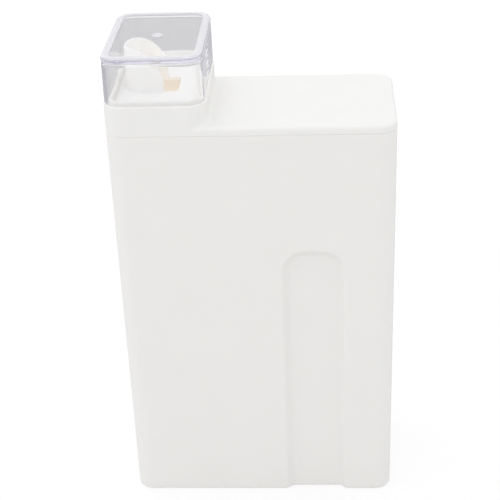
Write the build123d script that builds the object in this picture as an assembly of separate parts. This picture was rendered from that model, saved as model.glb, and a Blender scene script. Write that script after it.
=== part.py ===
from build123d import *
import os
from math import cos, radians, sin, tan

# Slim refillable dispenser bottle for laundry liquid, worn with its measuring cup as a cap.
# X runs along the wide front, Y from front to back and Z up. The origin is the middle of the base.

# Overall form
overall_width = 150.0
overall_depth = 77.5
seam_height = 224.0
deck_rise = 4.4
turret_rise = 12.0
turret_width = 52.6
corner_radius = 10.0
cut_overrun = 1.0
pick_tolerance = 0.02

# Bottle shell
bottle_wall = 2.2
bottle_floor = 2.6
body_draft = 0.36
foot_radius = 2.0
rim_break = 0.4
standing_rim_width = 9.0
base_recess = 1.2
base_recess_corner = 5.0
inner_floor_radius = 1.8

# Grip channel down the front and the back
grip_width = 33.4
grip_height = 157.0
grip_depth = 3.0
grip_from_side = 43.9
grip_arch_radius = 12.0
grip_flank_angle = 45.0
grip_edge_radius = 2.6
grip_hollow_radius = 2.4

# Cover
cover_plate = 2.2
deck_edge_radius = 1.8
turret_foot_radius = 3.0
shoulder_break = 0.3
plug_depth = 12.0
plug_wall = 2.4
plug_clearance = 0.35
plug_lead = 0.6
collar_rise = 2.2
collar_wall = 1.8
collar_edge_break = 0.4
ledge_width = 2.0
ledge_thickness = 1.8

# Seal ring round the plug
seal_height = 2.6
seal_groove_depth = 1.2
seal_above_plug_end = 4.2
seal_stand_off = 0.15
seal_edge_break = 0.4
seal_play = 0.1

# Pour spout insert
insert_clearance = 0.1
spout_floor_drop = 2.0
spout_floor_thickness = 1.8
spigot_depth = 3.4
spigot_wall = 1.6
scoop_from_side = 8.2
scoop_radius = 12.4
scoop_wall = 1.4
scoop_length = 21.2
scoop_height = 21.0
scoop_tip_drop = 0.8
scoop_crown_from_left = 2.4
scoop_crest_radius = 19.7
scoop_crest_turn = 32.5
scoop_foot_radius = 2.0
lip_break = 0.35
drain_length = 27.2
drain_corner_radius = 3.0

# Measuring cup that closes the turret
cap_height = 25.6
cap_wall = 2.2
cap_top = 2.4
cap_draft = 0.37
cap_clearance = 0.3
cap_top_radius = 1.5
cap_inner_break = 1.2
cap_rim_break = 0.3
cup_foot_width = 5.0
cup_foot_height = 1.0
cup_foot_break = 0.35
gate_radius = 2.2
gate_height = 0.4

# Levels and places that follow from the sizes
deck_level = seam_height + deck_rise
shoulder_level = deck_level + turret_rise
ceiling_level = deck_level - cover_plate
plug_level = seam_height - plug_depth
turret_x = (turret_width - overall_width) / 2
turret_side_x = turret_x + turret_width / 2
grip_x = overall_width / 2 - grip_from_side
plug_inset = bottle_wall + plug_clearance
skirt_inset = plug_inset + plug_wall
collar_inset = cap_wall + cap_clearance
pocket_inset = collar_inset + collar_wall
ledge_inset = pocket_inset + ledge_width
spout_floor_level = shoulder_level - spout_floor_drop
ledge_level = spout_floor_level - spout_floor_thickness
ledge_underside = ledge_level - ledge_thickness
seal_level = plug_level + seal_above_plug_end
scoop_left_x = scoop_from_side - overall_width / 2
scoop_x = scoop_left_x + scoop_radius
scoop_end_x = scoop_left_x + scoop_length
scoop_bore = scoop_radius - scoop_wall


def rounded_outline(width, depth, inset):
    """Plan outline with round corners, drawn in by the inset on every side."""
    return RectangleRounded(width - 2 * inset, depth - 2 * inset, corner_radius - inset)


def body_block(inset, low, high):
    """Upright block with the plan of the whole bottle."""
    return extrude(Pos(0, 0, low) * rounded_outline(overall_width, overall_depth, inset), high - low)


def turret_block(inset, low, high):
    """Upright block with the plan of the turret at the left end."""
    outline = rounded_outline(turret_width, overall_depth, inset)
    return extrude(Pos(turret_x, 0, low) * outline, high - low)


def drafted_block(inset, low):
    """Block that hangs from the seam and narrows towards the base."""
    seam = Plane(origin=(0, 0, seam_height), z_dir=(0, 0, -1))
    outline = rounded_outline(overall_width, overall_depth, inset)
    return extrude(seam * outline, seam_height - low, taper=body_draft)


def top_edges(solid):
    """Edges of the highest flat face."""
    return solid.faces().sort_by(Axis.Z)[-1].edges()


def bottom_edges(solid):
    """Edges of the lowest flat face."""
    return solid.faces().sort_by(Axis.Z)[0].edges()


def edges_at_level(solid, level):
    """Edges that lie flat at one level."""
    return solid.edges().filter_by(
        lambda edge: all(abs(vertex.Z - level) < pick_tolerance for vertex in edge.vertices())
    )


def front_wall_plane():
    """Plane of the sloping front wall, facing inwards, with its origin below the grip at the base."""
    foot_y = seam_height * tan(radians(body_draft)) - overall_depth / 2
    slope = radians(body_draft)
    return Plane(origin=(grip_x, foot_y, 0), x_dir=(-1, 0, 0), z_dir=(0, cos(slope), sin(slope)))


def grip_form(spread, depth):
    """Arched form of the grip channel, wider at the wall than at its floor."""
    reach = spread + cut_overrun * tan(radians(grip_flank_angle))
    run_out = 2 * (depth + reach)
    outline = Pos(0, -run_out) * Rectangle(
        grip_width + 2 * reach, grip_height + reach + run_out, align=(Align.CENTER, Align.MIN)
    )
    outline = fillet(outline.vertices().sort_by(Axis.Y)[-2:], grip_arch_radius + reach)
    start = front_wall_plane().offset(-cut_overrun)
    return extrude(start * outline, cut_overrun + depth, taper=grip_flank_angle)


def cut_grips(solid, spread, depth):
    """Takes the grip form out of the front and its mirror image out of the back."""
    form = grip_form(spread, depth)
    return solid - form - mirror(form, Plane.XZ)


def grip_edges(solid, depth):
    """Edges of both grip channels that lie at one depth below the sloping walls."""
    plane = front_wall_plane()

    def at_depth(edge):
        middle = edge.position_at(0.5)
        front = Vector(middle.X, -abs(middle.Y), middle.Z)
        beside = abs(middle.X - grip_x) < grip_width / 2 + pick_tolerance
        below = (front - plane.origin).dot(plane.z_dir)
        return beside and abs(below - depth) < pick_tolerance and middle.Z > pick_tolerance

    return solid.edges().filter_by(at_depth)


def make_bottle_body():
    """Hollow bottle with grip channels, a standing rim and an open top."""
    body = cut_grips(drafted_block(0, 0), 0, grip_depth)
    body = fillet(grip_edges(body, 0), grip_edge_radius)
    body = fillet(grip_edges(body, grip_depth), grip_hollow_radius)
    body = fillet(bottom_edges(body), foot_radius)
    flank_spread = bottle_wall / cos(radians(grip_flank_angle))
    cavity = drafted_block(bottle_wall, base_recess + bottle_floor)
    cavity = cut_grips(cavity, flank_spread, grip_depth + bottle_wall)
    body -= fillet(bottom_edges(cavity), inner_floor_radius)
    rim_inset = seam_height * tan(radians(body_draft)) + standing_rim_width
    recess_width = overall_width - 2 * rim_inset
    recess_depth = overall_depth - 2 * rim_inset
    recess = RectangleRounded(recess_width, recess_depth, base_recess_corner)
    body -= extrude(Pos(0, 0, -cut_overrun) * recess, cut_overrun + base_recess)
    outer_rim = body.faces().sort_by(Axis.Z)[-1].outer_wire().edges()
    return chamfer(outer_rim, rim_break)


def turret_foot_edges(cover):
    """Edges where the right side of the turret stands on the deck."""
    near_x = turret_side_x - corner_radius
    return edges_at_level(cover, deck_level).filter_by(
        lambda edge: near_x < edge.position_at(0.5).X < turret_side_x + pick_tolerance
    )


def make_outer_cover():
    """Outer form of the cover: a low band with a soft edge, and the turret that grows out of it."""
    band = body_block(0, seam_height, deck_level)
    band = fillet(top_edges(band), deck_edge_radius)
    band = chamfer(bottom_edges(band), rim_break)
    turret = turret_block(0, seam_height + deck_edge_radius, shoulder_level)
    turret = chamfer(top_edges(turret), shoulder_break)
    cover = band + turret
    return fillet(turret_foot_edges(cover), turret_foot_radius)


def make_plug():
    """Skirt that reaches down into the bottle, with a groove round it for the seal."""
    plug = body_block(plug_inset, plug_level, seam_height)
    plug = chamfer(bottom_edges(plug), plug_lead)
    groove = body_block(0, seal_level - seal_play, seal_level + seal_height + seal_play)
    groove -= body_block(plug_inset + seal_groove_depth, plug_level, seam_height)
    return plug - groove


def make_top_cover():
    """Deck, turret and collar over the plug, moulded as one shell."""
    cover = make_outer_cover() + make_plug()
    cover -= body_block(skirt_inset, plug_level - cut_overrun, ceiling_level)
    cover -= turret_block(skirt_inset, plug_level, ledge_underside)
    collar_level = shoulder_level + collar_rise
    collar = turret_block(collar_inset, ledge_level, collar_level)
    cover += chamfer(top_edges(collar), collar_edge_break)
    cover -= turret_block(pocket_inset, ledge_level, collar_level + cut_overrun)
    return cover - turret_block(ledge_inset, plug_level, collar_level)


def make_cover_seal():
    """Soft ring in the groove of the plug, with its edges towards the bottle broken."""
    ring = body_block(bottle_wall + seal_stand_off, seal_level, seal_level + seal_height)
    ring = chamfer(top_edges(ring) + bottom_edges(ring), seal_edge_break)
    return ring - body_block(plug_inset + seal_groove_depth - seal_play, plug_level, seam_height)


def scoop_side_profile():
    """Side view of the scoop: a crowned tip, a long falling crest, and a nose that turns upright."""
    crown_level = spout_floor_level + scoop_height
    crown = (scoop_left_x + scoop_crown_from_left, crown_level)
    tip = (scoop_left_x, crown_level - scoop_tip_drop)
    back = TangentArc(crown, tip, tangent=(-1, 0))
    crest = JernArc(start=crown, tangent=(1, 0), radius=scoop_crest_radius, arc_size=-scoop_crest_turn)
    nose_radius = (scoop_end_x - (crest @ 1).X) / (1 - sin(radians(scoop_crest_turn)))
    nose = JernArc(start=crest @ 1, tangent=crest % 1, radius=nose_radius, arc_size=scoop_crest_turn - 90)
    outer_x = scoop_left_x - cut_overrun
    base_level = ledge_level - scoop_height
    rest = Polyline(
        tip,
        (outer_x, crown_level - scoop_tip_drop),
        (outer_x, base_level),
        (scoop_end_x, base_level),
        nose @ 1,
    )
    return make_face(Plane.XZ * (back + crest + nose + rest))


def scoop_plan(radius, end_x):
    """Plan of the scoop: a half circle at the left that runs straight on to the right."""
    straight = Rectangle(end_x - scoop_x, 2 * radius, align=(Align.MIN, Align.CENTER))
    return Pos(scoop_x, 0) * (Circle(radius) + straight)


def scoop_lip_edges(tube):
    """Edges along both sides of the lip, on the faces that the side view cuts straight across."""
    lip = {}
    for face in tube.faces():
        normal = face.normal_at()
        across = abs(normal.Y) < pick_tolerance
        wall = face.geom_type == GeomType.CYLINDER and abs(normal.Z) < pick_tolerance
        if across and not wall and face.center().Z > ledge_level + pick_tolerance:
            for edge in face.edges():
                crosswise = edge.geom_type == GeomType.LINE and abs(edge.tangent_at(0.5).Z) < pick_tolerance
                if not crosswise:
                    lip[edge] = True
    return list(lip)


def make_scoop():
    """Half tube that stands up from the ledge, cut by its side view, with both sides of its lip broken."""
    plan = scoop_plan(scoop_radius, scoop_end_x) - scoop_plan(scoop_bore, scoop_end_x + cut_overrun)
    tube = extrude(Pos(0, 0, ledge_level) * plan, 2 * scoop_height)
    tube &= extrude(scoop_side_profile(), overall_depth / 2, both=True)
    return chamfer(scoop_lip_edges(tube), lip_break)


def scoop_foot_edges(spout):
    """Edges where the outside of the scoop stands on its floor."""

    def outside(edge):
        middle = edge.position_at(0.5)
        beside = abs(abs(middle.Y) - scoop_radius) < pick_tolerance and middle.X < scoop_end_x
        return beside or abs(middle.X - scoop_left_x) < pick_tolerance

    return edges_at_level(spout, spout_floor_level).filter_by(outside)


def make_pour_spout():
    """Pour spout insert: a floor with a drain slot, and a scoop that stands round the slot."""
    floor = turret_block(pocket_inset + insert_clearance, ledge_level, spout_floor_level)
    slot = scoop_plan(scoop_bore, scoop_x - scoop_bore + drain_length)
    slot = fillet(slot.vertices().sort_by(Axis.X)[-2:], drain_corner_radius)
    floor -= extrude(Pos(0, 0, ledge_level) * slot, spout_floor_thickness)
    spout = floor + make_scoop()
    spout = fillet(scoop_foot_edges(spout), scoop_foot_radius)
    spigot_inset = ledge_inset + insert_clearance
    spigot_level = ledge_level - spigot_depth
    spigot = turret_block(spigot_inset, spigot_level, ledge_level)
    return spout + (spigot - turret_block(spigot_inset + spigot_wall, spigot_level, ledge_level))


def make_measuring_cap():
    """Clear cup with a raised foot rim, worn upside down on the turret."""
    mouth = Pos(turret_x, 0, shoulder_level)
    cup = extrude(mouth * rounded_outline(turret_width, overall_depth, 0), cap_height, taper=cap_draft)
    cup = fillet(top_edges(cup), cap_top_radius)
    cup = chamfer(bottom_edges(cup), cap_rim_break)
    inside_height = cap_height - cup_foot_height - cap_top
    inside_outline = rounded_outline(turret_width, overall_depth, cap_wall)
    inside = extrude(mouth * inside_outline, inside_height, taper=cap_draft)
    cup -= chamfer(top_edges(inside), cap_inner_break)
    cup_level = shoulder_level + cap_height
    recess_level = cup_level - cup_foot_height
    cup -= turret_block(cup_foot_width, recess_level, cup_level + cut_overrun)
    cup = chamfer(cup.faces().sort_by(Axis.Z)[-1].inner_wires()[0].edges(), cup_foot_break)
    gate = Cylinder(gate_radius, gate_height, align=(Align.CENTER, Align.CENTER, Align.MIN))
    return cup + Pos(turret_x, 0, recess_level) * gate


pieces = {
    "bottle_body": make_bottle_body,
    "top_cover": make_top_cover,
    "cover_seal": make_cover_seal,
    "pour_spout": make_pour_spout,
    "measuring_cap": make_measuring_cap,
}

if __name__ == "__main__":
    os.makedirs("parts", exist_ok=True)
    for name, make_piece in pieces.items():
        piece = make_piece()
        print(name, round(piece.volume), piece.is_valid, len(piece.solids()))
        export_step(piece, f"parts/{name}.step")
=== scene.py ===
"""Looks of a slim white dispenser bottle that wears its clear measuring cup as a cap.

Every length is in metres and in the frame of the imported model: X runs along the wide front
with the turret at the low end, Y from front to back, and Z up from the surface it stands on.
"""

import sys
import logging
import math
from collections.abc import Sequence
from dataclasses import dataclass, field
from enum import Enum
from typing import Protocol

import bpy
import numpy as np
from mathutils import Matrix, Vector


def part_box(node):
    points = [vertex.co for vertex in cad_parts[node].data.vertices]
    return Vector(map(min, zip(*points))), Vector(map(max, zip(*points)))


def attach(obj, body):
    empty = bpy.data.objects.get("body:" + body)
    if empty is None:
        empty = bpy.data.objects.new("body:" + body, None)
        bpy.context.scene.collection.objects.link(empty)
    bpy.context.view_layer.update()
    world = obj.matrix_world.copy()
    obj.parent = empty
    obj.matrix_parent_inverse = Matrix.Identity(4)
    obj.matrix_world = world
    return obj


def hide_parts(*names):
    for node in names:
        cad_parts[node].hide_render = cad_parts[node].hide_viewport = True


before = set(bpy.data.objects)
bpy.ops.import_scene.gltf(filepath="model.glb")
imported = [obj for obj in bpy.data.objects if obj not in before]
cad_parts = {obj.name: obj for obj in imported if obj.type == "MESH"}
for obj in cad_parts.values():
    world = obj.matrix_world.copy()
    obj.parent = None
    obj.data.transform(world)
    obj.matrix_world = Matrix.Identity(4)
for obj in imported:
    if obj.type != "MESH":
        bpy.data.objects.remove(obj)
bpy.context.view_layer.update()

MM = 0.001
RIGHT_ANGLE = 90
CUP_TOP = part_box("measuring_cap")[1].z
LOG = logging.getLogger("dispenser_bottle")

Pair = tuple[float, float]
Triple = tuple[float, float, float]
Colour = Triple
Socket = bpy.types.NodeSocket
Rings = list[np.ndarray]

WHITE: Colour = (1.0, 1.0, 1.0)
NOISE_MIDDLE: Pair = (0.3, 0.7)
WAVE_DETAIL = 1.0
GRAIN_DETAIL = 2.0
PATCH_DETAIL = 3.0


class Rider(Enum):
    """The bodies of the model, by the names that its joints use."""

    BOTTLE = "bottle"
    COVER = "cover"
    CAP = "cap"


class Slot(Enum):
    """The record's material slots."""

    BOTTLE = "bottle_plastic"
    COVER = "cover_plastic"
    SEAL = "seal_rubber"
    SPOUT = "spout_plastic"
    CLEAR = "clear_plastic"


class Ray(Enum):
    """Kinds of rays, by the outputs of the Light Path node."""

    CAMERA = "Is Camera Ray"
    SHADOW = "Is Shadow Ray"
    DIFFUSE = "Is Diffuse Ray"
    GLOSSY = "Is Glossy Ray"
    TRANSMISSION = "Is Transmission Ray"


class Operation(Enum):
    """Calculations of two values, by the names that the Math node gives them."""

    ADD = "ADD"
    MULTIPLY = "MULTIPLY"
    MAXIMUM = "MAXIMUM"


class Board:
    """Shader nodes of one tree, added and joined by name."""

    def __init__(self, tree: bpy.types.NodeTree) -> None:
        """Starts with an emptied tree of a material or of the world."""
        self.tree = tree
        self.tree.nodes.clear()

    def add(self, kind: str, **values: object) -> bpy.types.Node:
        """Adds one node and sets its constant inputs.

        Args:
            kind: node type without the ShaderNode prefix.
            **values: input names with spaces as underscores, each with a constant value.

        Returns:
            The new node.
        """
        node = self.tree.nodes.new("ShaderNode" + kind)
        for name, value in values.items():
            socket = node.inputs[name.replace("_", " ")]
            socket.default_value = (*value, 1) if socket.type == "RGBA" else value
        return node

    def join(self, source: Socket, target: Socket) -> None:
        """Links an output socket to an input socket."""
        self.tree.links.new(source, target)

    def place(self) -> Socket:
        """Position on the surface in the piece's own coordinates."""
        return self.add("TexCoord").outputs["Object"]

    def calculate(self, operation: Operation, first: Socket, second: Socket | float) -> Socket:
        """Adds a sum or another calculation of two values.

        Args:
            operation: the calculation.
            first: socket of the first value.
            second: socket of the second value, or a constant.

        Returns:
            The result.
        """
        node = self.add("Math")
        node.operation = operation.value
        self.join(first, node.inputs[0])
        if isinstance(second, float):
            node.inputs[1].default_value = second
        else:
            self.join(second, node.inputs[1])
        return node.outputs["Value"]

    def noise(self, coordinates: Socket, cell: float, detail: float) -> Socket:
        """Adds a noise pattern whose patches are about one cell wide.

        Args:
            coordinates: the position that the pattern follows.
            cell: width of a patch in metres.
            detail: how many finer layers lie on it.

        Returns:
            The grey value of the pattern.
        """
        node = self.add("TexNoise", Scale=1 / cell, Detail=detail)
        self.join(coordinates, node.inputs["Vector"])
        return node.outputs["Fac"]

    def ramp(self, value: Socket, source: Pair, target: Pair) -> Socket:
        """Carries one range of values over to another evenly, and keeps to its ends outside it.

        Args:
            value: the value.
            source: ends of its own range.
            target: the results at those ends.

        Returns:
            The result.
        """
        node = self.add("MapRange")
        for name, end in zip(("From Min", "From Max", "To Min", "To Max"), (*source, *target)):
            node.inputs[name].default_value = end
        self.join(value, node.inputs["Value"])
        return node.outputs["Result"]

    def spread(self, pattern: Socket, low: float, high: float) -> Socket:
        """Stretches the middle range of a noise pattern from a low to a high value."""
        return self.ramp(pattern, NOISE_MIDDLE, (low, high))

    def any_ray(self, *kinds: Ray) -> Socket:
        """Gives 1 for rays of any of these kinds and 0 for others.

        Args:
            *kinds: the kinds of rays.

        Returns:
            The value.
        """
        path = self.add("LightPath")
        total = path.outputs[kinds[0].value]
        for kind in kinds[1:]:
            total = self.calculate(Operation.MAXIMUM, total, path.outputs[kind.value])
        return total

    def mix(self, share: Socket, start: Socket, end: Socket) -> Socket:
        """Mixes two shaders.

        Args:
            share: 0 for the first shader and 1 for the second.
            start: first shader.
            end: second shader.

        Returns:
            The mixed shader.
        """
        node = self.add("MixShader")
        for source, target in zip((share, start, end), node.inputs):
            self.join(source, target)
        return node.outputs["Shader"]

    def blend(self, share: Socket, start: Colour, end: Colour) -> Socket:
        """Blends two colours.

        Args:
            share: 0 for the first colour and 1 for the second.
            start: first colour.
            end: second colour.

        Returns:
            The blended colour.
        """
        node = self.add("Mix")
        node.data_type = "RGBA"
        colour_sockets = [socket for socket in node.inputs if socket.type == "RGBA"]
        for socket, colour in zip(colour_sockets, (start, end)):
            socket.default_value = (*colour, 1)
        self.join(share, node.inputs["Factor"])
        return next(socket for socket in node.outputs if socket.type == "RGBA")

    def relief(self, height: Socket, depth: float, strength: float, under: Socket | None = None) -> Socket:
        """Adds a bump that follows a height pattern.

        Args:
            height: the pattern.
            depth: height of the bumps in metres.
            strength: how much of the bump shows.
            under: normal of a coarser bump below this one, if there is one.

        Returns:
            The changed normal.
        """
        node = self.add("Bump", Strength=strength, Distance=depth)
        self.join(height, node.inputs["Height"])
        if under is not None:
            self.join(under, node.inputs["Normal"])
        return node.outputs["Normal"]


class Finish(Protocol):
    """A surface finish that can make its own material."""

    name: str

    def material(self) -> bpy.types.Material:
        """Makes the node material."""


def new_board(name: str) -> tuple[bpy.types.Material, Board]:
    """Makes a material with an empty node board.

    Args:
        name: name of the material.

    Returns:
        The material and its board.
    """
    material = bpy.data.materials.new(name)
    material.use_nodes = True
    return material, Board(material.node_tree)


@dataclass(frozen=True)
class MouldedPlastic:
    """Opaque injection-moulded plastic with a fine grain and the slow waves of a cooled wall.

    Attributes:
        name: name of the material.
        colour: colour of the plastic.
        deep: colour of its slightly denser patches.
        roughness: lowest and highest roughness over the surface.
        grain: width of a grain of the mould's texture.
        grain_depth: height of the grain.
        wave: width of the slow waves.
        wave_depth: height of the waves.
        glow: share of light that scatters below the surface.
        glow_reach: how far red, green and blue light scatter, in millimetres.
        grain_strength: how much of the grain shows.
        index: refractive index.
    """

    name: str
    colour: Colour
    deep: Colour
    roughness: Pair
    grain: float
    grain_depth: float
    wave: float
    wave_depth: float
    glow: float
    glow_reach: Triple = (1.0, 0.9, 0.75)
    grain_strength: float = 0.6
    index: float = 1.49

    def material(self) -> bpy.types.Material:
        """Makes the node material.

        Returns:
            The material.
        """
        material, board = new_board(self.name)
        place = board.place()
        waves = board.noise(place, self.wave, WAVE_DETAIL)
        grain = board.noise(place, self.grain, GRAIN_DETAIL)
        patches = board.noise(place, self.wave / 2, PATCH_DETAIL)
        shader = board.add(
            "BsdfPrincipled",
            IOR=self.index,
            Subsurface_Weight=self.glow,
            Subsurface_Radius=self.glow_reach,
            Subsurface_Scale=MM,
        )
        tone = board.blend(board.spread(patches, 0.0, 1.0), self.colour, self.deep)
        board.join(tone, shader.inputs["Base Color"])
        board.join(board.spread(patches, *self.roughness), shader.inputs["Roughness"])
        slow = board.relief(waves, self.wave_depth, 1.0)
        board.join(board.relief(grain, self.grain_depth, self.grain_strength, slow), shader.inputs["Normal"])
        board.join(shader.outputs["BSDF"], board.add("OutputMaterial").inputs["Surface"])
        return material


@dataclass(frozen=True)
class ClearPlastic:
    """Clear moulded polystyrene with a polished face, a faint tint that deepens along its walls, and a
    painted highlight on the top of its foot rim.

    Attributes:
        name: name of the material.
        tint: colour of its faces.
        depth_tint: colour towards which light turns on a long way through the plastic.
        density: how fast it turns, per metre.
        roughness: lowest and highest roughness over the surface.
        scuff: roughness that the rim gains where it stands on tables.
        scuff_and_highlight_levels: levels between which that roughness and the painted highlight grow from
            nothing.
        painted_highlight_white: colour of a painted highlight, a matt white that stands in for the light that
            the rounded rim catches.
        painted_highlight_share: share of the light that the painted highlight scatters where it is full.
        ripple: width of the flow ripples.
        ripple_depth: height of the ripples.
        index: refractive index.
    """

    name: str
    tint: Colour
    depth_tint: Colour
    density: float
    roughness: Pair
    scuff: float
    scuff_and_highlight_levels: Pair
    painted_highlight_white: Colour
    painted_highlight_share: float
    ripple: float
    ripple_depth: float
    index: float

    def material(self) -> bpy.types.Material:
        """Makes the node material, which lets light from the lamps through to what it covers.

        Returns:
            The material.
        """
        material, board = new_board(self.name)
        place = board.place()
        ripples = board.noise(place, self.ripple, GRAIN_DETAIL)
        parts = board.add("SeparateXYZ")
        board.join(place, parts.inputs["Vector"])
        # The top of the foot rim, where the roughness rises and the painted highlight is laid on.
        scuff_and_highlight_mask = board.ramp(parts.outputs["Z"], self.scuff_and_highlight_levels, (0.0, 1.0))
        clear = board.add("BsdfPrincipled", IOR=self.index, Base_Color=self.tint, Transmission_Weight=1.0)
        scuff = board.calculate(Operation.MULTIPLY, scuff_and_highlight_mask, self.scuff)
        roughness = board.calculate(Operation.ADD, board.spread(ripples, *self.roughness), scuff)
        board.join(roughness, clear.inputs["Roughness"])
        board.join(board.relief(ripples, self.ripple_depth, 1.0), clear.inputs["Normal"])
        # Painted highlight: matt white on the top of the foot rim, standing in for the light that the rounded
        # rim catches.
        highlight_diffuse = board.add("BsdfDiffuse", Color=self.painted_highlight_white)
        highlight_mix_share = board.calculate(Operation.MULTIPLY, scuff_and_highlight_mask, self.painted_highlight_share)
        clear_and_highlight = board.mix(highlight_mix_share, clear.outputs["BSDF"], highlight_diffuse.outputs["BSDF"])
        passing = board.add("BsdfTransparent", Color=WHITE)
        shown = board.mix(board.any_ray(Ray.SHADOW, Ray.DIFFUSE), clear_and_highlight, passing.outputs["BSDF"])
        inside = board.add("VolumeAbsorption", Color=self.depth_tint, Density=self.density)
        output = board.add("OutputMaterial")
        board.join(shown, output.inputs["Surface"])
        board.join(inside.outputs["Volume"], output.inputs["Volume"])
        return material


@dataclass(frozen=True)
class FloorPaint:
    """Pale matt floor that the camera sees as white, with the object's shadow on it.

    Attributes:
        name: name of the material.
        colour: colour of the paint.
        near_white: share of plain white that the camera sees close to the object.
        far_white: share that it sees away from the object's shadow.
        level: level of the plain white.
        glass_level: level of the plain grey that shows through clear plastic.
        mirror_level: level of the plain grey that shows by reflection.
        glass_tone: colour of both greys.
        near: distance from the middle at which the white begins to rise.
        far: distance at which it is full.
    """

    name: str
    colour: Colour
    near_white: float
    far_white: float
    level: float
    glass_level: float
    mirror_level: float
    glass_tone: Colour
    near: float
    far: float

    def material(self) -> bpy.types.Material:
        """Makes the node material.

        Returns:
            The material.
        """
        material, board = new_board(self.name)
        paint = board.add("BsdfDiffuse", Color=self.colour)
        white = board.add("Emission", Color=WHITE, Strength=self.level)
        mirrored = board.add("Emission", Color=self.glass_tone, Strength=self.mirror_level)
        through = board.add("Emission", Color=self.glass_tone, Strength=self.glass_level)
        distance = board.add("VectorMath")
        distance.operation = "LENGTH"
        board.join(board.place(), distance.inputs[0])
        rise = board.ramp(distance.outputs["Value"], (self.near, self.far), (self.near_white, self.far_white))
        straight = board.calculate(Operation.MULTIPLY, board.any_ray(Ray.CAMERA), rise)
        shown = board.mix(straight, paint.outputs["BSDF"], white.outputs["Emission"])
        # Light through clear plastic counts as glossy too, so it is sorted out last.
        shown = board.mix(board.any_ray(Ray.GLOSSY), shown, mirrored.outputs["Emission"])
        shown = board.mix(board.any_ray(Ray.TRANSMISSION), shown, through.outputs["Emission"])
        board.join(shown, board.add("OutputMaterial").inputs["Surface"])
        return material


WHITE_GRAINED = MouldedPlastic(
    name="white_polypropylene_grained",
    colour=(0.89, 0.876, 0.85),
    deep=(0.881, 0.867, 0.84),
    roughness=(0.42, 0.5),
    grain=0.6 * MM,
    grain_depth=0.02 * MM,
    wave=45 * MM,
    wave_depth=0.07 * MM,
    glow=0.1,
)
WHITE_SATIN = MouldedPlastic(
    name="white_polypropylene_satin",
    colour=(0.899, 0.889, 0.868),
    deep=(0.89, 0.88, 0.857),
    roughness=(0.36, 0.44),
    grain=0.5 * MM,
    grain_depth=0.012 * MM,
    wave=35 * MM,
    wave_depth=0.05 * MM,
    glow=0.1,
)
# White of the spout, lighter than the other mouldings: its own white plus painted light, standing in for the
# light that reaches it inside the clear cup.
WHITE_SMOOTH_PAINTED_LIGHT = MouldedPlastic(
    name="white_polypropylene_smooth_painted_light",
    colour=(0.955, 0.95, 0.942),
    deep=(0.945, 0.94, 0.93),
    roughness=(0.28, 0.36),
    grain=0.4 * MM,
    grain_depth=0.006 * MM,
    wave=20 * MM,
    wave_depth=0.05 * MM,
    glow=0.1,
)
SOFT_SILICONE = MouldedPlastic(
    name="soft_white_silicone",
    colour=(0.78, 0.78, 0.76),
    deep=(0.74, 0.74, 0.72),
    roughness=(0.5, 0.62),
    grain=0.8 * MM,
    grain_depth=0.02 * MM,
    wave=12 * MM,
    wave_depth=0.04 * MM,
    glow=0.3,
)
CLEAR_POLISHED = ClearPlastic(
    name="clear_polystyrene",
    tint=(0.99, 0.985, 0.978),
    depth_tint=(0.35, 0.28, 0.7),
    density=3.5,
    roughness=(0.01, 0.03),
    scuff=0.16,
    scuff_and_highlight_levels=(CUP_TOP - 0.95 * MM, CUP_TOP - 0.6 * MM),
    # The rim's matt white below is a painted highlight.
    painted_highlight_white=(0.83, 0.829, 0.857),
    painted_highlight_share=0.7,
    ripple=18 * MM,
    ripple_depth=0.012 * MM,
    index=1.57,
)
MARK_FROSTED = MouldedPlastic(
    name="frosted_marks",
    colour=(0.9, 0.9, 0.91),
    deep=(0.86, 0.86, 0.88),
    roughness=(0.5, 0.6),
    grain=0.3 * MM,
    grain_depth=0.01 * MM,
    wave=4 * MM,
    wave_depth=0.01 * MM,
    glow=0.0,
)
PALE_FLOOR = FloorPaint(
    name="pale_floor",
    colour=(0.82, 0.82, 0.82),
    near_white=0.7,
    far_white=1.0,
    level=1.08,
    glass_level=0.5,
    mirror_level=0.63,
    glass_tone=(0.95, 0.958, 1.03),
    near=0.25,
    far=0.7,
)


def make_piece(
    name: str,
    points: np.ndarray,
    faces: Sequence[Sequence[int]],
    finish: Finish,
    body: Rider,
    slot: Slot,
    smooth: bool = False,
) -> bpy.types.Object:
    """Puts a surface into the scene as a piece that rides on a body.

    Args:
        name: name of the piece.
        points: corners, one row of x, y and z each.
        faces: corner numbers of each face; a triangle may repeat its last one.
        finish: finish of the whole piece.
        body: body that the piece moves with.
        slot: material slot of the record; not used.
        smooth: whether its faces are shaded as one curved surface.

    Returns:
        The new object.
    """
    mesh = bpy.data.meshes.new(name)
    mesh.from_pydata(points.tolist(), [], [tuple(dict.fromkeys(face)) for face in faces])
    mesh.polygons.foreach_set("use_smooth", np.full(len(mesh.polygons), smooth))
    mesh.update()
    piece = bpy.data.objects.new(name, mesh)
    bpy.context.scene.collection.objects.link(piece)
    piece.data.materials.append(finish.material())
    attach(piece, body.value)
    LOG.info("%s: %d faces on %s", name, len(mesh.polygons), body.value)
    return piece


def dress(node: str, finish: Finish) -> None:
    """Gives a CAD node its finish.

    Args:
        node: name of the node.
        finish: finish of the whole node.
    """
    material = finish.material()
    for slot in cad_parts[node].material_slots:
        slot.material = material
    LOG.info("%s: finished in %s", node, finish.name)


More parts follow.
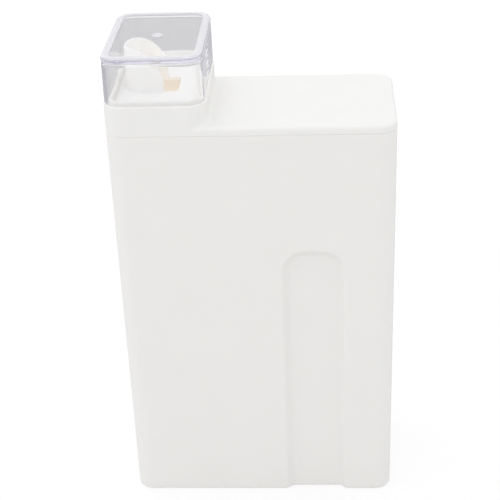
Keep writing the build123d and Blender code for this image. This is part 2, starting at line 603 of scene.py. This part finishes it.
def grid_faces(rows: int, columns: int) -> np.ndarray:
    """Faces between neighbouring points of a grid that closes on itself along each row.

    Point (i, j) has number i * columns + j, and a face joins (i, j), (i + 1, j), (i + 1, j + 1)
    and (i, j + 1), with j + 1 taken round.

    Args:
        rows: number of rings.
        columns: points in a ring.

    Returns:
        Four corner numbers for each face.
    """
    i, j = np.meshgrid(np.arange(rows - 1), np.arange(columns), indexing="ij")
    beside = (j + 1) % columns
    corners = (i * columns + j, (i + 1) * columns + j, (i + 1) * columns + beside, i * columns + beside)
    return np.stack([corner.ravel() for corner in corners], axis=1)


def arc(centre: Pair, radius: float, start: float, spans: int, turn: float = RIGHT_ANGLE) -> np.ndarray:
    """Points of an arc: the centre plus the radius times the cosine and sine of an evenly stepped angle.

    Args:
        centre: centre of the arc.
        radius: its radius.
        start: first angle in degrees.
        spans: number of spans.
        turn: angle that the arc covers in degrees, anticlockwise.

    Returns:
        One row of two coordinates for each point.
    """
    angles = np.radians(start + turn * np.linspace(0, 1, spans + 1))
    return np.stack([centre[0] + radius * np.cos(angles), centre[1] + radius * np.sin(angles)], axis=1)


@dataclass
class RoundedPlan:
    """Plan outline with round corners, which can be drawn in by an inset.

    Attributes:
        centre: middle of the plan in X and Y.
        half: half of the width and of the depth.
        radius: corner radius at no inset.
        corner_spans: spans in each corner.
        side_spans: spans in each straight side.
        hold: share of a straight side between a corner and the next point, which keeps the side flat.
    """

    centre: Pair
    half: Pair
    radius: float
    corner_spans: int = 16
    side_spans: int = 4
    hold: float = 0.01

    def ring(self, inset: float) -> np.ndarray:
        """Points of the outline, drawn in by the inset.

        Each corner is a quarter circle about its own centre, with the radius less the inset. The
        straight side that follows has evenly spaced points, and one more close to each end.

        Args:
            inset: distance from the outline.

        Returns:
            One row of x and y for each point, anticlockwise seen from above.
        """
        radius = self.radius - inset
        reach = np.array(self.half) - self.radius
        corners = []
        for quarter, (side_x, side_y) in enumerate(((1, 1), (-1, 1), (-1, -1), (1, -1))):
            centre = (self.centre[0] + side_x * reach[0], self.centre[1] + side_y * reach[1])
            corners.append(arc(centre, radius, RIGHT_ANGLE * quarter, self.corner_spans))
        inner_shares = np.linspace(0, 1, self.side_spans + 1)[1:-1]
        shares = np.concatenate([[self.hold], inner_shares, [1 - self.hold]])[:, None]
        ring = []
        for corner, following in zip(corners, corners[1:] + corners[:1]):
            ring += [corner, corner[-1] + shares * (following[0] - corner[-1])]
        return np.concatenate(ring)

    def towards_circle(self, inset: float, radius: float, share: float) -> np.ndarray:
        """Points part of the way from the drawn-in outline to a circle about the middle.

        A point keeps its direction from the middle, and its distance is mixed between the two.

        Args:
            inset: inset of the outline.
            radius: radius of the circle.
            share: 0 on the outline and 1 on the circle.

        Returns:
            One row of x and y for each point.
        """
        outline = self.ring(inset)
        arm = outline - self.centre
        circle = self.centre + arm / np.linalg.norm(arm, axis=1, keepdims=True) * radius
        return outline + share * (circle - outline)


def lift(ring: np.ndarray, level: float) -> np.ndarray:
    """Sets a plan ring at a level, which is added to each row as its z.

    Args:
        ring: rows of x and y.
        level: z of every point.

    Returns:
        Rows of x, y and z.
    """
    return np.column_stack([ring, np.full(len(ring), level)])


def closed_surface(rings: Rings) -> tuple[np.ndarray, np.ndarray]:
    """Joins rings of equally many points into one closed skin, with a pole at each end.

    Each pole is the mean of its ring, and a triangle joins it to every two neighbours on the ring.

    Args:
        rings: rings in order, each one row of x, y and z for each point.

    Returns:
        Points and faces.
    """
    count = len(rings[0])
    poles = [rings[0].mean(axis=0), rings[-1].mean(axis=0)]
    points = np.concatenate([*rings, poles])
    start_pole, end_pole = len(points) - 2, len(points) - 1
    j = np.arange(count)
    beside = (j + 1) % count
    start = np.stack([np.full(count, start_pole), j, beside, beside], axis=1)
    last_row = (len(rings) - 1) * count
    end = np.stack([np.full(count, end_pole), last_row + beside, last_row + j, last_row + j], axis=1)
    return points, np.concatenate([grid_faces(len(rings), count), start, end])


@dataclass
class MeasuringCup:
    """Clear cup worn upside down on the turret, with a foot rim round its end.

    Attributes:
        step: how far the walls stand in from the edge of the turret.
        wall: thickness of the walls.
        plate: thickness of the end plate.
        draft: lean of the walls in degrees.
        corner: corner radius at the mouth.
        edge: radius of the outer edge of the foot rim.
        inner_edge: radius inside, where the walls meet the end plate.
        rim_break: bevel of the outer edge of the mouth.
        foot_width: width of the foot rim.
        foot_height: height of the foot rim over the end plate.
        foot_edge: radius of the inner edge of the foot rim.
        gate: radius of the gate mark.
        gate_height: height of the gate mark.
        spans: spans in each rounded edge.
        hold: distance from a rounded edge to the ring that keeps the next face flat.
    """

    step: float = 0.5 * MM
    wall: float = 1.7 * MM
    plate: float = 2.4 * MM
    draft: float = 0.37
    corner: float = 10 * MM
    edge: float = 1.5 * MM
    inner_edge: float = 1.6 * MM
    rim_break: float = 0.3 * MM
    foot_width: float = 4.1 * MM
    foot_height: float = 1 * MM
    foot_edge: float = 0.4 * MM
    gate: float = 2.8 * MM
    gate_height: float = 0.55 * MM
    spans: int = 8
    hold: float = 0.15 * MM
    low: Vector = field(init=False)
    high: Vector = field(init=False)

    def __post_init__(self) -> None:
        """Takes the cup's place from its CAD node."""
        self.low, self.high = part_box("measuring_cap")

    def plan(self) -> RoundedPlan:
        """Plan of the cup at its mouth.

        Returns:
            The plan.
        """
        centre = ((self.low.x + self.high.x) / 2, (self.low.y + self.high.y) / 2)
        half_width = (self.high.x - self.low.x) / 2 - self.step
        half_depth = (self.high.y - self.low.y) / 2 - self.step
        return RoundedPlan(centre, (half_width, half_depth), self.corner - self.step)

    def ceiling(self) -> float:
        """Level of the underside of the end plate, which is the cup's bottom when it is filled."""
        return self.high.z - self.foot_height - self.plate

    def lean(self, level: float | np.ndarray) -> float | np.ndarray:
        """Inset of the leaning wall at a level: the height over the mouth times the tangent of the draft."""
        return (level - self.low.z) * math.tan(math.radians(self.draft))

    def end_profile(self) -> np.ndarray:
        """Profile of the end plate and the foot rim, from the gate mark out to the wall.

        Returns:
            One row of inset and level for each ring: the recess, a small quarter circle up the inner
            side of the rim, its flat top and a quarter circle down to the wall.
        """
        top = self.high.z
        recess = top - self.foot_height
        outer = self.lean(top - self.edge)
        rim_start = self.foot_width - self.foot_edge
        floor = [[self.foot_width + self.hold, recess], [self.foot_width, recess]]
        inner_side = arc((rim_start, top - self.foot_edge), self.foot_edge, 0, self.spans)
        flat = [[rim_start - self.hold, top], [outer + self.edge + self.hold, top]]
        shoulder = arc((outer + self.edge, top - self.edge), self.edge, RIGHT_ANGLE, self.spans)
        return np.concatenate([floor, inner_side, flat, shoulder])

    def wall_profile(self) -> np.ndarray:
        """Profile of the outer wall, the mouth and the inner wall, up to the underside of the end plate.

        Returns:
            One row of inset and level for each ring: down the outer wall, over the bevel and the flat
            end of the mouth, up the inner wall and round a quarter circle to the end plate.
        """
        mouth = self.low.z
        bevel = mouth + self.rim_break
        shoulder = self.high.z - self.edge
        bend = self.ceiling() - self.inner_edge
        inner = self.wall + self.lean(bend)
        outside = [[self.lean(level), level] for level in (shoulder - self.hold, bevel + self.hold)]
        under = [[0, bevel], [self.rim_break, mouth], [self.rim_break + self.hold, mouth]]
        lip = [[self.wall - self.hold, mouth], [self.wall, mouth], [self.wall, mouth + self.hold]]
        inside = [[inner - self.lean(mouth + self.hold), bend - self.hold]]
        turned = inner + self.inner_edge
        round_in = arc((turned, bend), self.inner_edge, 2 * RIGHT_ANGLE, self.spans, -RIGHT_ANGLE)
        end = [[turned + self.hold, self.ceiling()]]
        return np.concatenate([outside, under, lip, inside, round_in, end])

    def skin(self) -> Rings:
        """Rings of the whole cup, from the gate mark over the outside to the middle of the ceiling.

        Returns:
            The rings in order.
        """
        plan = self.plan()
        recess = self.high.z - self.foot_height
        gate_top = recess + self.gate_height
        gate_rings = (
            (self.gate / 2, 1.0, gate_top),
            (self.gate - self.hold, 1.0, gate_top),
            (self.gate, 1.0, gate_top - self.hold),
            (self.gate, 1.0, recess),
            (self.gate + self.hold, 1.0, recess),
            (self.gate, 0.5, recess),
        )
        rings = [
            lift(plan.towards_circle(self.foot_width, radius, share), level)
            for radius, share, level in gate_rings
        ]
        profile = np.concatenate([self.end_profile(), self.wall_profile()])
        rings += [lift(plan.ring(inset), level) for inset, level in profile]
        inner = profile[-1, 0]
        rings += [lift(plan.towards_circle(inner, self.gate, share), self.ceiling()) for share in (0.5, 1.0)]
        return rings

    def build(self) -> None:
        """Builds the cup in place of its CAD node."""
        points, faces = closed_surface(self.skin())
        name = "measuring_cup_shell"
        cup = make_piece(name, points, faces.tolist(), CLEAR_POLISHED, Rider.CAP, Slot.CLEAR, smooth=True)
        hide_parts("measuring_cap")
        Graduations(self).build()


@dataclass
class Graduations:
    """Raised scale on the cup's right wall, which reads upright when the cup is held mouth up.

    Attributes:
        cup: the cup that carries the scale.
        step: height of the wall for each tick.
        amount: millilitres for each tick.
        ticks: number of ticks.
        labelled: every how many ticks a numeral stands.
        start_y: where the ticks start.
        short: length of a plain tick.
        long: length of a tick with a numeral.
        thickness: thickness of a tick.
        proud: how far the marks stand out of the wall.
        sunk: how far they reach into it.
        numeral: height of the numerals.
        numeral_share: that height as a share of the size of the letters.
        numeral_spans: spans in each curve of a numeral.
        gap: space between a long tick and its numeral.
    """

    cup: MeasuringCup
    step: float = 2.88 * MM
    amount: int = 10
    ticks: int = 7
    labelled: int = 2
    start_y: float = 1 * MM
    short: float = 1.8 * MM
    long: float = 3.2 * MM
    thickness: float = 0.4 * MM
    proud: float = 0.2 * MM
    sunk: float = 0.05 * MM
    numeral: float = 3.6 * MM
    numeral_share: float = 0.7
    numeral_spans: int = 6
    gap: float = 0.7 * MM

    def level(self, tick: int) -> float:
        """Level of a tick: the inner bottom of the cup, less the tick's number times the step."""
        return self.cup.ceiling() - tick * self.step

    def on_wall(self, marks: np.ndarray) -> np.ndarray:
        """Sets marks on the leaning outer wall, whose x is the turret's edge less the step and the lean.

        Args:
            marks: rows of place along the wall, level and height over the wall.

        Returns:
            Rows of x, y and z.
        """
        along, level, height = marks.T
        wall = self.cup.high.x - self.cup.step - self.cup.lean(level)
        return np.column_stack([wall + height, along, level])

    def tick_block(self, tick: int) -> tuple[np.ndarray, np.ndarray]:
        """Points and faces of one tick: its middle plus and minus half its length, thickness and height.

        Args:
            tick: number of the tick.

        Returns:
            Points on the wall, and six faces.
        """
        length = self.short if tick % self.labelled else self.long
        middle = (self.start_y - length / 2, self.level(tick), (self.proud - self.sunk) / 2)
        half = (length / 2, self.thickness / 2, (self.proud + self.sunk) / 2)
        signs = np.array([(i, j, k) for i in (-1, 1) for j in (-1, 1) for k in (-1, 1)])
        sides = [(0, 1, 3, 2), (4, 6, 7, 5), (0, 4, 5, 1), (2, 3, 7, 6), (0, 2, 6, 4), (1, 5, 7, 3)]
        return self.on_wall(np.array(middle) + signs * half), np.array(sides)

    def numeral_mesh(self, tick: int) -> tuple[np.ndarray, list[tuple[int, ...]]]:
        """Points and faces of the numeral beside a tick, which stands on its head as the cup does on the
        bottle.

        Args:
            tick: number of the tick.

        Returns:
            Points on the wall, and faces.
        """
        curve = bpy.data.curves.new("numeral", "FONT")
        curve.body = str(tick * self.amount)
        curve.size = self.numeral / self.numeral_share
        curve.align_y = "CENTER"
        curve.extrude = (self.proud + self.sunk) / 2
        curve.resolution_u = self.numeral_spans
        holder = bpy.data.objects.new("numeral", curve)
        bpy.context.scene.collection.objects.link(holder)
        shape = bpy.data.meshes.new_from_object(holder.evaluated_get(bpy.context.evaluated_depsgraph_get()))
        bpy.data.objects.remove(holder)
        points = np.empty(len(shape.vertices) * 3)
        shape.vertices.foreach_get("co", points)
        across, up, out = points.reshape(-1, 3).T
        faces = [tuple(face.vertices) for face in shape.polygons]
        along = self.start_y - self.long - self.gap - across
        marks = np.column_stack([along, self.level(tick) - up, out + (self.proud - self.sunk) / 2])
        return self.on_wall(marks), faces

    def build(self) -> None:
        """Builds the ticks and the numerals."""
        blocks = [self.tick_block(tick) for tick in range(1, self.ticks + 1)]
        points = np.concatenate([block for block, _ in blocks])
        faces = np.concatenate([sides + len(block) * number for number, (block, sides) in enumerate(blocks)])
        make_piece("cup_ticks", points, faces.tolist(), MARK_FROSTED, Rider.CAP, Slot.CLEAR)
        for tick in range(self.labelled, self.ticks + 1, self.labelled):
            name = f"cup_numeral_{tick * self.amount}"
            make_piece(name, *self.numeral_mesh(tick), MARK_FROSTED, Rider.CAP, Slot.CLEAR)


@dataclass(frozen=True)
class WhiteMouldings:
    """The opaque mouldings, which are shown as they come from the CAD.

    Attributes:
        finishes: each node with its finish.
    """

    finishes: tuple[tuple[str, MouldedPlastic], ...] = (
        ("bottle_body", WHITE_GRAINED),
        ("top_cover", WHITE_SATIN),
        ("pour_spout", WHITE_SMOOTH_PAINTED_LIGHT),
        ("cover_seal", SOFT_SILICONE),
    )

    def build(self) -> None:
        """Gives each moulding its finish."""
        for node, finish in self.finishes:
            dress(node, finish)


@dataclass(frozen=True)
class GlowLamp:
    """Small round lamp that stands for light which white walls let through and scatter.

    Attributes:
        name: name of the lamp.
        place: its middle.
        radius: its radius.
        power: its power.
        colour: colour of its light.
    """

    name: str
    place: Triple
    radius: float
    power: float
    colour: Colour

    def hang(self) -> None:
        """Hangs the lamp, where only matt surfaces are lit by it."""
        lamp = bpy.data.lights.new(self.name, "POINT")
        lamp.shadow_soft_size = self.radius
        lamp.energy = self.power
        lamp.color = self.colour
        holder = bpy.data.objects.new(self.name, lamp)
        holder.matrix_world = Matrix.Translation(self.place)
        holder.visible_glossy = holder.visible_transmission = False
        bpy.context.scene.collection.objects.link(holder)


LAMPS = (
    GlowLamp("wall_glow", (-0.045, 0.0, 0.2), 12 * MM, 0.0265, (1.0, 0.905, 0.8)),
    GlowLamp("cup_glow", (-0.04, 0.0, 0.256), 6 * MM, 0.0005, (1.0, 0.98, 0.95)),
)


@dataclass
class Studio:
    """Camera, pale floor, even white surroundings and two small lamps.

    Attributes:
        eye: place of the camera.
        heading: turn of the camera to the left, in degrees.
        pitch: how far it looks down, in degrees.
        roll: turn about its own axis, in degrees.
        focal: focal length over the width of the picture.
        sensor: width of the camera's sensor in millimetres.
        clip: nearest and farthest distance that the camera sees.
        floor_radius: radius of the floor.
        floor_spans: spans in the edge of the floor.
        surround_level: level of the surroundings to the front and the back.
        surround_tilt: how much that level rises along X, Y and Z.
        side_lift: how much it rises towards both sides.
        overhead_tone: colour of the light from straight above, which is white at the horizon.
        overhead_level: level of the surroundings overhead, as reflections show them.
        sweep: heights of the direction between which that level is reached.
        wall_bounces: how often light may be turned inside the clear walls.
        inner_bounces: how often light may be scattered inside the bottle.
    """

    eye: Triple = (0.03917, -0.66508, 0.48617)
    heading: float = 3.792
    pitch: float = 27.544
    roll: float = -2.324
    focal: float = 2.67175
    sensor: float = 36.0
    clip: Pair = (0.01, 50.0)
    floor_radius: float = 4.0
    floor_spans: int = 96
    surround_level: float = 0.885
    surround_tilt: Triple = (-0.12, 0.01, 0.21)
    side_lift: float = 0.2
    overhead_tone: Colour = (0.97, 0.982, 1.0)
    overhead_level: float = 0.85
    sweep: Pair = (0.05, 0.35)
    wall_bounces: int = 40
    inner_bounces: int = 8

    def place_camera(self) -> None:
        """Sets the camera at the photograph's place, turned by its heading, pitch and roll in that order."""
        data = bpy.data.cameras.new("camera")
        data.sensor_width = self.sensor
        data.lens = self.focal * self.sensor
        data.clip_start, data.clip_end = self.clip
        camera = bpy.data.objects.new("camera", data)
        turn = (
            Matrix.Rotation(math.radians(self.heading), 4, "Z")
            @ Matrix.Rotation(math.radians(RIGHT_ANGLE - self.pitch), 4, "X")
            @ Matrix.Rotation(math.radians(self.roll), 4, "Z")
        )
        camera.matrix_world = Matrix.Translation(self.eye) @ turn
        bpy.context.scene.collection.objects.link(camera)
        bpy.context.scene.camera = camera

    def lay_floor(self) -> None:
        """Lays a round floor at level zero, with a full circle as its edge."""
        rim = arc((0.0, 0.0), self.floor_radius, 0, self.floor_spans, 4 * RIGHT_ANGLE)[:-1]
        mesh = bpy.data.meshes.new("floor")
        mesh.from_pydata(lift(rim, 0.0).tolist(), [], [tuple(range(len(rim)))])
        floor = bpy.data.objects.new("floor", mesh)
        floor.data.materials.append(PALE_FLOOR.material())
        bpy.context.scene.collection.objects.link(floor)

    def light_surroundings(self) -> None:
        """Makes the world a large soft light, plain white to the camera and through clear plastic.

        The light from a direction is the surround level, plus the direction times the tilt, plus the
        side lift times the square of the direction's X. Its colour turns from white at the horizon to
        the overhead tone. The level in reflections falls from white at the horizon to the overhead
        level as the height of the direction rises over the range of the sweep.
        """
        world = bpy.data.worlds.new("studio")
        world.use_nodes = True
        board = Board(world.node_tree)
        direction = board.add("TexCoord").outputs["Generated"]
        tilt = board.add("VectorMath")
        tilt.operation = "DOT_PRODUCT"
        tilt.inputs[1].default_value = self.surround_tilt
        board.join(direction, tilt.inputs[0])
        parts = board.add("SeparateXYZ")
        board.join(direction, parts.inputs["Vector"])
        height = parts.outputs["Z"]
        side = board.calculate(Operation.MULTIPLY, parts.outputs["X"], parts.outputs["X"])
        lifted = board.calculate(Operation.MULTIPLY, side, self.side_lift)
        level = board.calculate(Operation.ADD, tilt.outputs["Value"], self.surround_level)
        level = board.calculate(Operation.ADD, level, lifted)
        above = board.calculate(Operation.MAXIMUM, height, 0.0)
        soft = board.add("Background")
        board.join(level, soft.inputs["Strength"])
        board.join(board.blend(above, WHITE, self.overhead_tone), soft.inputs["Color"])
        glossy = board.add("Background", Color=WHITE)
        board.join(board.ramp(height, self.sweep, (1.0, self.overhead_level)), glossy.inputs["Strength"])
        plain = board.add("Background", Color=WHITE, Strength=1.0)
        # Light through clear plastic counts as glossy too, so the plain white comes last.
        shown = board.mix(board.any_ray(Ray.GLOSSY), soft.outputs["Background"], glossy.outputs["Background"])
        shown = board.mix(board.any_ray(Ray.CAMERA, Ray.TRANSMISSION), shown, plain.outputs["Background"])
        board.join(shown, board.add("OutputWorld").inputs["Surface"])
        bpy.context.scene.world = world

    def build(self) -> None:
        """Sets up the camera, the floor and the light."""
        self.place_camera()
        self.lay_floor()
        self.light_surroundings()
        for lamp in LAMPS:
            lamp.hang()
        scene = bpy.context.scene
        scene.view_settings.view_transform = "Standard"
        paths = scene.cycles
        paths.max_bounces = paths.glossy_bounces = paths.transmission_bounces = self.wall_bounces
        paths.diffuse_bounces = self.inner_bounces
        LOG.info("studio: camera, floor, surroundings and %d lamps", len(LAMPS))


def main() -> None:
    """Builds every sub-assembly in order."""
    logging.basicConfig(level=logging.INFO, format="%(name)s %(message)s", stream=sys.stdout)
    Studio().build()
    WhiteMouldings().build()
    MeasuringCup().build()


if __name__ == "__main__":
    main()
